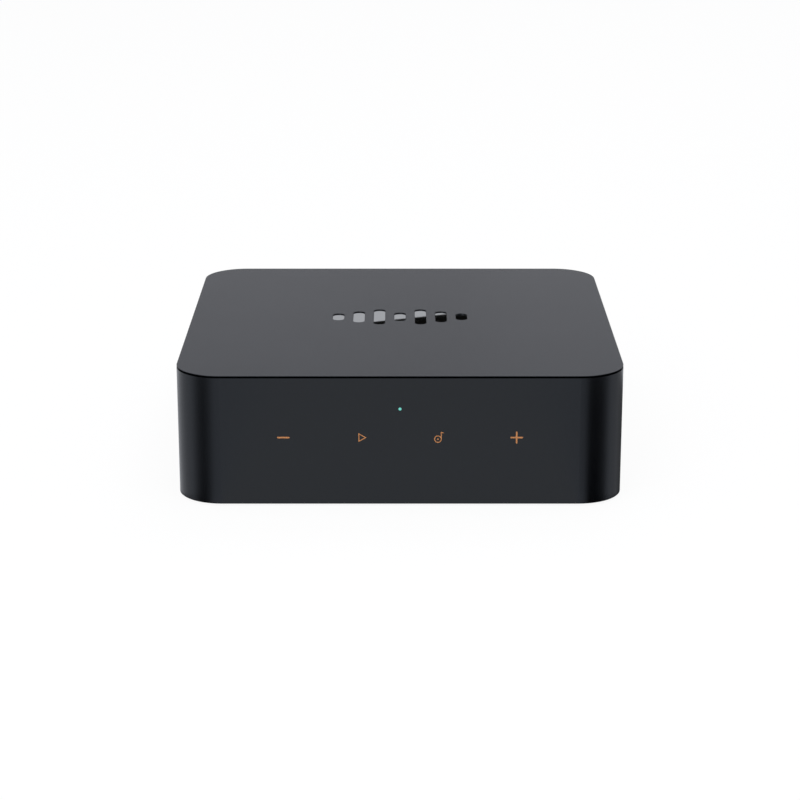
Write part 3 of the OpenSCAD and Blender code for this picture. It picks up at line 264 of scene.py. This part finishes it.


# Emission sheet that only glossy rays see: a painted reflection on the case
def mirroredCard(name, points, faces, tones, tint=(1, 1, 1)):
    mat, tree, out = bareMaterial(name)
    tone = addNode(tree, "ShaderNodeAttribute", attribute_name="tone")
    paint = addNode(tree, "ShaderNodeEmission", {"Color": tint, "Strength": tone.outputs["Fac"]})
    feed(tree, out, {"Surface": paint.outputs["Emission"]})
    mesh = bpy.data.meshes.new(name)
    mesh.from_pydata(points, [], faces)
    mesh.attributes.new("tone", "FLOAT", "POINT").data.foreach_set("value", tones)
    mesh.materials.append(mat)
    card = addObject(name, mesh)
    card.visible_camera = False
    card.visible_diffuse = False
    card.visible_shadow = False
    card.visible_transmission = False


def valueAt(row, turn):
    for (low, first), (high, last) in zip(row, row[1:]):
        if turn <= high:
            return first + (last - first) * (turn - low) / (high - low)


# A fan on the floor, where the corner's rounded face mirrors it: a painted reflection, darker in bands
def makeReflectionBand(setup, side, end, band, half):
    centre = half - setup["cornerRadius"]
    radius = setup["cornerRadius"] + setup["standOff"]
    points, tones = [], []
    for turn in range(band[0][0], band[-1][0] + 1, setup["bandStep"]):
        lean = math.radians(turn)
        foot = (centre + radius * math.sin(lean), centre + radius * math.cos(lean))
        reach = valueAt(setup["reach"], turn)
        far = (foot[0] + reach * math.sin(2 * lean), foot[1] + reach * math.cos(2 * lean))
        points += [(side * x, end * y, setup["lift"]) for x, y in (foot, far)]
        tones += [valueAt(band, turn)] * 2
    faces = [(i, i + 1, i + 3, i + 2) for i in range(0, len(points) - 2, 2)]
    mirroredCard("cornerReflectionCard", points, faces, tones, setup["reflectionBandTint"])


def makeCards(setup):
    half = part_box("shell")[1][0]
    for side, front in ((-1, "leftReflectionBand"), (1, "rightReflectionBand")):
        makeReflectionBand(setup, side, -1, setup[front], half)
        makeReflectionBand(setup, side, 1, setup["rearReflectionBand"], half)
    # The black card under the case is a painted shadow: the shaded floor beneath it, as the glossy faces
    # mirror it
    edge = half + setup["shadowCardMargin"]
    under = [(x * edge, y * edge, setup["lift"]) for x, y in ((-1, -1), (1, -1), (1, 1), (-1, 1))]
    # The emblem's card: a painted dark reflection in the plated bars
    behind = [(x, setup["emblemReflectionCardBack"], z) for x, z in setup["emblemReflectionCard"]]
    for name, points in (("shadowUnderCaseCard", under), ("emblemReflectionCard", behind)):
        mirroredCard(name, points, [(0, 1, 2, 3)], [setup["black"]] * 4)


makeFloor(stageSetup)
makeBackdrop(stageSetup)
makeLamps(lampSetup)
makeCards(cardSetup)
print("stage built")


# Node groups that several finishes share

def newGroup(name, inputs, outputs):
    group = bpy.data.node_groups.new(name, "ShaderNodeTree")
    for label, value in inputs.items():
        colour = isinstance(value, tuple)
        kind = "NodeSocketColor" if colour else "NodeSocketFloat"
        socket = group.interface.new_socket(label, in_out="INPUT", socket_type=kind)
        socket.default_value = (*value, 1) if colour else value
    for label, kind in outputs.items():
        group.interface.new_socket(label, in_out="OUTPUT", socket_type="NodeSocket" + kind)
    return group, group.nodes.new("NodeGroupInput").outputs, group.nodes.new("NodeGroupOutput")


mouldSetup = {
    "fine": {"detail": 3.0, "roughness": 0.6},
    "cloud": {"scale": 55.0, "detail": 4.0, "roughness": 0.55},
    "mottle": 0.15,                          # swing of the tone
    "spread": 0.06,                          # swing of the roughness
    "depth": 0.00002,
}


# Spark-eroded mould texture: fine pits, soft mottling of tone and sheen
def makeMouldGrain(setup):
    group, given, out = newGroup("mouldGrain", {
        "Colour": (0.01, 0.01, 0.01), "Roughness": 0.3, "Grain": 4000.0, "Mottle": 0.15, "Spread": 0.05,
    }, {"Colour": "Color", "Roughness": "Float", "Height": "Float"})
    coords = objectCoords(group)
    fine = noiseNode(group, coords, given["Grain"], **setup["fine"])
    cloud = noiseNode(group, coords, **setup["cloud"])
    pits = addNode(group, "ShaderNodeTexVoronoi", {"Vector": coords, "Scale": given["Grain"]})
    lighter = swing(group, cloud, given["Mottle"])
    speck = swing(group, fine, given["Mottle"])
    gain = mathNode(group, "ADD", mathNode(group, "ADD", lighter, speck), 1.0)
    sheen = swing(group, cloud, given["Spread"])
    feed(group, out, {
        "Colour": mixColour(group, 1.0, given["Colour"], gain, "MULTIPLY"),
        "Roughness": mathNode(group, "ADD", given["Roughness"], sheen, True),
        "Height": mathNode(group, "ADD", fine, pits.outputs["Distance"]),
    })
    return group


drawnSetup = {
    "streak": {"scale": 1.0, "detail": 3.0, "roughness": 0.6},
    "stain": {"scale": 260.0, "detail": 5.0, "roughness": 0.6},
    "streakSpread": 0.18,                    # swing of the roughness over the streaks
    "bump": 0.12,
    "depth": 0.00002,
}


# Streaks left by rolling, turning or brushing along one direction
def makeDrawnMetal(setup):
    group, given, out = newGroup("drawnMetal", {
        "Colour": (0.6, 0.6, 0.6), "Roughness": 0.3, "Tarnish": 0.15,
        "Across X": 4000.0, "Across Y": 4000.0, "Across Z": 200.0,
    }, {"Colour": "Color", "Roughness": "Float", "Height": "Float"})
    coords = objectCoords(group)
    stretch = addNode(group, "ShaderNodeCombineXYZ", {axis: given["Across " + axis] for axis in "XYZ"})
    scaled = addNode(group, "ShaderNodeVectorMath", {0: coords, 1: stretch.outputs["Vector"]},
                     operation="MULTIPLY")
    streak = noiseNode(group, scaled.outputs["Vector"], **setup["streak"])
    stain = noiseNode(group, coords, **setup["stain"])
    dull = swing(group, stain, given["Tarnish"])
    gain = mathNode(group, "ADD", dull, 1.0)
    rough = mathNode(group, "ADD", given["Roughness"], swing(group, streak, setup["streakSpread"]))
    feed(group, out, {
        "Colour": mixColour(group, 1.0, given["Colour"], gain, "MULTIPLY"),
        "Roughness": mathNode(group, "ADD", rough, dull, True),
        "Height": streak,
    })
    return group


trackSetup = {
    "cells": {"Scale": 210.0, "Randomness": 0.85},
    "linesPerCell": 7.0,
    "lineEdges": (0.52, 0.60),
    "dots": {"Scale": 330.0},
    "dotEdges": (0.10, 0.13),
    "dotHeight": 0.6,
    "weave": 900.0,
    "roughness": 0.25,
    "weaveSpread": 0.2,                      # rise of the roughness over the weave
    "bump": 0.4,
    "depth": 0.00004,
}


# Printed wiring under solder resist: tracks, pads and bare resist
def makeBoardTracks(setup):
    group, given, out = newGroup("boardTracks", {
        "Resist": (0.02, 0.1, 0.06), "Track": (0.03, 0.16, 0.09), "Pad": (0.55, 0.50, 0.40),
    }, {"Colour": "Color", "Roughness": "Float", "Metallic": "Float", "Height": "Float"})
    coords = objectCoords(group)
    cells = addNode(group, "ShaderNodeTexVoronoi", {"Vector": coords, **setup["cells"]},
                    distance="CHEBYCHEV")
    rings = mathNode(group, "MULTIPLY", cells.outputs["Distance"], setup["linesPerCell"])
    lines = mathNode(group, "PINGPONG", rings, 1.0)
    track = rampNode(group, lines, setup["lineEdges"], (0, 1))
    dots = addNode(group, "ShaderNodeTexVoronoi", {"Vector": coords, **setup["dots"]})
    pad = rampNode(group, dots.outputs["Distance"], setup["dotEdges"], (1, 0))
    tone = mixColour(group, track, given["Resist"], given["Track"])
    weave = noiseNode(group, coords, setup["weave"])
    feed(group, out, {
        "Colour": mixColour(group, pad, tone, given["Pad"]),
        "Roughness": rise(group, weave, setup["weaveSpread"], setup["roughness"]),
        "Metallic": pad,
        "Height": rise(group, pad, setup["dotHeight"], track),
    })
    return group


mouldGrain = makeMouldGrain(mouldSetup)
drawnMetal = makeDrawnMetal(drawnSetup)
boardTracks = makeBoardTracks(trackSetup)
print("node groups built")


# Finishes, one for each material slot of the record

caseFinish = dict(colour=(0.0018, 0.002, 0.0026), roughness=0.26, ior=1.42, grain=5200, bump=0.16,
                  tint=(0.83, 0.90, 1.00))

plasticFinishes = {
    "cover_plastic": caseFinish,
    "shell_plastic": caseFinish,
    "panel_plastic": dict(colour=(0.01, 0.01, 0.0108), roughness=0.42, ior=1.46, grain=2600, bump=0.95),
    "base_plastic": dict(colour=(0.011, 0.011, 0.0118), roughness=0.50, ior=1.46, grain=2200, bump=0.35),
    "socket_plastic": dict(colour=(0.009, 0.009, 0.0096), roughness=0.38, ior=1.50, grain=3000, bump=0.20),
    "shutter_plastic": dict(colour=(0.014, 0.014, 0.015), roughness=0.42, ior=1.50, grain=3000, bump=0.20),
    "chip_epoxy": dict(colour=(0.012, 0.012, 0.013), roughness=0.55, ior=1.50, grain=2400, bump=0.40),
    "white_plastic": dict(colour=(0.78, 0.77, 0.73), roughness=0.30, ior=1.50, grain=2800, bump=0.08),
    "red_plastic": dict(colour=(0.46, 0.02, 0.018), roughness=0.30, ior=1.50, grain=2800, bump=0.08),
    "orange_plastic": dict(colour=(0.68, 0.17, 0.018), roughness=0.30, ior=1.50, grain=2800, bump=0.08),
    "socket_nylon": dict(colour=(0.76, 0.72, 0.61), roughness=0.45, ior=1.50, grain=2600, bump=0.15),
    "ribbon_film": dict(colour=(0.79, 0.77, 0.69), roughness=0.28, ior=1.50, grain=1800, bump=0.06),
    "film": dict(colour=(0.7, 0.67, 0.58), roughness=0.50, ior=1.46, grain=1600, bump=0.15),
    "antenna_film": dict(colour=(0.04, 0.034, 0.028), roughness=0.35, ior=1.50, grain=2000, bump=0.12),
    "light_chip": dict(colour=(0.8, 0.82, 0.76), roughness=0.25, ior=1.55, grain=3000, bump=0.05),
    "foot_rubber": dict(colour=(0.02, 0.02, 0.0205), roughness=0.72, ior=1.45, grain=1500, bump=0.60),
    "thermal_rubber": dict(colour=(0.33, 0.41, 0.5), roughness=0.70, ior=1.42, grain=1300, bump=0.45),
    "lead_jacket": dict(colour=(0.018, 0.018, 0.018), roughness=0.48, ior=1.48, grain=3600, bump=0.15),
    "ferrite": dict(colour=(0.055, 0.055, 0.057), roughness=0.62, ior=1.60, grain=2000, bump=0.50),
}


def mouldedPlastic(name, finish):
    mat, tree, shader = startMaterial(name)
    grain = addNode(tree, "ShaderNodeGroup", {
        "Colour": finish["colour"], "Roughness": finish["roughness"], "Grain": finish["grain"],
        "Mottle": mouldSetup["mottle"], "Spread": mouldSetup["spread"],
    }, node_tree=mouldGrain).outputs
    feed(tree, shader, {
        "Base Color": grain["Colour"], "Roughness": grain["Roughness"],
        "IOR": finish["ior"], "Specular Tint": finish.get("tint", (1, 1, 1)),
    })
    bumpInto(tree, shader, grain["Height"], finish["bump"], mouldSetup["depth"])
    return mat


metalFinishes = {
    "black_steel": dict(colour=(0.06, 0.06, 0.063), roughness=0.36, across=(1500, 1500, 1500), tarnish=0.3),
    "screw_steel": dict(colour=(0.52, 0.52, 0.51), roughness=0.30, across=(1500, 1500, 1500), tarnish=0.3),
    "tinned_sheet": dict(colour=(0.48, 0.485, 0.475), roughness=0.30, across=(2500, 160, 2500), tarnish=0.2),
    "spreader_metal": dict(colour=(0.61, 0.62, 0.63), roughness=0.34, across=(90, 5000, 5000), tarnish=0.15),
    "brass": dict(colour=(0.68, 0.5, 0.2), roughness=0.28, across=(300, 300, 6000), tarnish=0.25),
    "capacitor_can": dict(colour=(0.64, 0.64, 0.65), roughness=0.26, across=(300, 300, 5000), tarnish=0.15),
    "gold_plate": dict(colour=(0.82, 0.58, 0.22), roughness=0.20, across=(3000, 300, 3000), tarnish=0.15),
    "nickel": dict(colour=(0.5, 0.49, 0.465), roughness=0.24, across=(120, 6500, 120), tarnish=0.15),
    "spring_wire": dict(colour=(0.56, 0.56, 0.54), roughness=0.28, across=(4000, 4000, 4000), tarnish=0.2),
    "copper": dict(colour=(0.7, 0.34, 0.19), roughness=0.32, across=(900, 900, 900), tarnish=0.3),
}


def placeDrawn(tree, finish):
    values = {"Colour": finish["colour"], "Roughness": finish["roughness"], "Tarnish": finish["tarnish"]}
    values.update({"Across " + axis: scale for axis, scale in zip("XYZ", finish["across"])})
    return addNode(tree, "ShaderNodeGroup", values, node_tree=drawnMetal).outputs


def drawnOrTurned(name, finish):
    mat, tree, shader = startMaterial(name)
    drawn = placeDrawn(tree, finish)
    feed(tree, shader, {"Base Color": drawn["Colour"], "Roughness": drawn["Roughness"], "Metallic": 1.0})
    bumpInto(tree, shader, drawn["Height"], drawnSetup["bump"], drawnSetup["depth"])
    return mat


boardFinishes = {
    "board": dict(resist=(0.012, 0.075, 0.042), track=(0.022, 0.130, 0.070), pad=(0.62, 0.58, 0.48)),
    "module_board": dict(resist=(0.010, 0.026, 0.120), track=(0.020, 0.050, 0.200), pad=(0.70, 0.52, 0.24)),
}


def printedBoard(name, finish):
    mat, tree, shader = startMaterial(name)
    tracks = addNode(tree, "ShaderNodeGroup", {
        "Resist": finish["resist"], "Track": finish["track"], "Pad": finish["pad"],
    }, node_tree=boardTracks).outputs
    feed(tree, shader, {
        "Base Color": tracks["Colour"], "Roughness": tracks["Roughness"], "Metallic": tracks["Metallic"]})
    bumpInto(tree, shader, tracks["Height"], trackSetup["bump"], trackSetup["depth"])
    return mat


emblemFinish = {
    "colour": (0.67, 0.675, 0.65),
    "roughness": 0.20,
    "polish": 0.05,                          # share of the roughness that polishing leaves
    "across": (900, 900, 900),
    "tarnish": 0.02,
}


# Mirror-bright plated bars let into the top
def platedMirror(name, finish):
    mat, tree, shader = startMaterial(name)
    drawn = placeDrawn(tree, finish)
    smooth = mathNode(tree, "MULTIPLY", drawn["Roughness"], finish["polish"])
    feed(tree, shader, {"Base Color": drawn["Colour"], "Roughness": smooth, "Metallic": 1.0})
    return mat


markFinish = {
    "colour": (0.43, 0.160, 0.042),
    "flake": (0.60, 0.290, 0.104),
    "flakeScale": 9000.0,
    "flakeEdges": (0.15, 0.55),
    "cloud": 3000.0,
    "roughness": 0.28,
    "cloudSpread": 0.2,                      # rise of the roughness over the clouds
    "bump": 0.1,
    "depth": 0.00001,
}


# Copper-coloured ink with fine flakes
def copperInk(name, finish):
    mat, tree, shader = startMaterial(name)
    coords = objectCoords(tree)
    flakes = addNode(tree, "ShaderNodeTexVoronoi", {"Vector": coords, "Scale": finish["flakeScale"]})
    bright = rampNode(tree, flakes.outputs["Distance"], finish["flakeEdges"], (1, 0))
    cloud = noiseNode(tree, coords, finish["cloud"])
    feed(tree, shader, {
        "Base Color": mixColour(tree, bright, finish["colour"], finish["flake"]),
        "Roughness": rise(tree, cloud, finish["cloudSpread"], finish["roughness"]),
    })
    bumpInto(tree, shader, flakes.outputs["Distance"], finish["bump"], finish["depth"])
    return mat


lensSetup = {
    "cloud": 2500.0,
    "gain": 0.93,
    "gainSpread": 0.14,                      # rise of tone and glow over the clouds
    "roughSpread": 0.1,
}

clearFinishes = {
    "indicator_clear": dict(
        colour=(0.02, 0.12, 0.10), glow=(0.132, 0.515, 0.445), strength=1.0, roughness=0.15),
    "optical_clear": dict(
        colour=(0.30, 0.012, 0.012), glow=(0.30, 0.01, 0.01), strength=0.15, roughness=0.12),
    "light_window": dict(
        colour=(0.55, 0.62, 0.34), glow=(0.55, 0.62, 0.34), strength=0.10, roughness=0.22),
}


# Tinted lens that its light fills unevenly
def litLens(name, finish):
    mat, tree, shader = startMaterial(name)
    cloud = noiseNode(tree, objectCoords(tree), lensSetup["cloud"])
    gain = rise(tree, cloud, lensSetup["gainSpread"], lensSetup["gain"])
    feed(tree, shader, {
        "Base Color": mixColour(tree, 1.0, finish["colour"], gain, "MULTIPLY"),
        "Emission Color": mixColour(tree, 1.0, finish["glow"], gain, "MULTIPLY"),
        "Emission Strength": finish["strength"],
        "Roughness": rise(tree, cloud, lensSetup["roughSpread"], finish["roughness"]),
    })
    return mat


materials = {name: mouldedPlastic(name, finish) for name, finish in plasticFinishes.items()}
materials.update({name: drawnOrTurned(name, finish) for name, finish in metalFinishes.items()})
materials.update({name: printedBoard(name, finish) for name, finish in boardFinishes.items()})
materials.update({name: litLens(name, finish) for name, finish in clearFinishes.items()})
materials["emblem_gloss"] = platedMirror("emblem_gloss", emblemFinish)
materials["copper_mark"] = copperInk("copper_mark", markFinish)
print("finishes made:", len(materials))


def dressNodes():
    for part in frame["record"]["subparts"]:
        piece = nodeObjects[part["node"]]
        piece.data.materials.clear()
        piece.data.materials.append(materials[part["material_slot"]])


dressNodes()
print("nodes dressed")


# Printed legends over the rear sockets

legendSetup = {
    "columns": ("IN", "OUT"),                # over the line sockets
    "rows": ("L", "R"),                      # between the line sockets
    "optical": [("OUT", "output_shutter"), ("IN", "input_shutter")],
    "single": [("OUT", "coax_insulator"), ("12V", "trigger_bush"), ("LAN", "lan_shield"),
               ("5V", "usb_shell")],
    "capHeight": 0.0014,
    "capShare": 0.70,                        # height of a capital letter against the font's size
    "gap": 0.0006,                           # from a socket's top to the foot of its legend
    "ink": 0.00003,
    "curveSteps": 4,
    "weld": 1e-7,
    "finish": dict(colour=(0.56, 0.56, 0.55), roughness=0.55, ior=1.45, grain=4200, bump=0.10),
}


def midX(node):
    low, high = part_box(node)
    return (low[0] + high[0]) / 2


# Legends as (word, across, foot) on the panel's face, each over its own socket
def legendPlaces(setup):
    gap = setup["gap"]
    leftLow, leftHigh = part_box("left_insulators")
    rightLow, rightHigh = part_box("right_insulators")
    ring = (leftHigh[2] - leftLow[2]) / 2
    columns = zip(setup["columns"], (leftHigh[0] - ring, leftLow[0] + ring))
    places = [(word, across, leftHigh[2] + gap) for word, across in columns]
    middle = (leftLow[0] + leftHigh[0]) / 2
    for word, low, high in zip(setup["rows"], (leftLow, rightLow), (leftHigh, rightHigh)):
        places.append((word, middle, (low[2] + high[2] - setup["capHeight"]) / 2))
    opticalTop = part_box("optical_housings")[1][2] + gap
    places += [(word, midX(node), opticalTop) for word, node in setup["optical"]]
    for word, node in setup["single"]:
        places.append((word, midX(node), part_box(node)[1][2] + gap))
    return places


def wordMesh(word, setup):
    letters = bpy.data.curves.new(word, "FONT")
    letters.body = word
    letters.align_x = "CENTER"
    letters.size = setup["capHeight"] / setup["capShare"]
    letters.extrude = setup["ink"] / 2
    letters.resolution_u = setup["curveSteps"]
    holder = addObject(word, letters)
    graph = bpy.context.evaluated_depsgraph_get()
    mesh = bpy.data.meshes.new_from_object(holder.evaluated_get(graph))
    bpy.data.objects.remove(holder)
    bpy.data.curves.remove(letters)
    return mesh


def makeLegends(setup):
    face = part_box("rear_panel")[1][1]
    facing = Matrix(((-1, 0, 0, 0), (0, 0, 1, face), (0, 1, 0, 0), (0, 0, 0, 1)))   # read from behind
    built = bmesh.new()
    for word, across, foot in legendPlaces(setup):
        mesh = wordMesh(word, setup)
        mesh.transform(Matrix.Translation((across, setup["ink"] / 2, foot)) @ facing)
        built.from_mesh(mesh)
        bpy.data.meshes.remove(mesh)
    bmesh.ops.remove_doubles(built, verts=built.verts, dist=setup["weld"])
    mesh = bpy.data.meshes.new("panelLegends")
    built.to_mesh(mesh)
    built.free()
    mesh.materials.append(mouldedPlastic("panel_ink", setup["finish"]))
    legends = addObject("panelLegends", mesh)
    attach(legends, "case")


makeLegends(legendSetup)
print("legends printed")
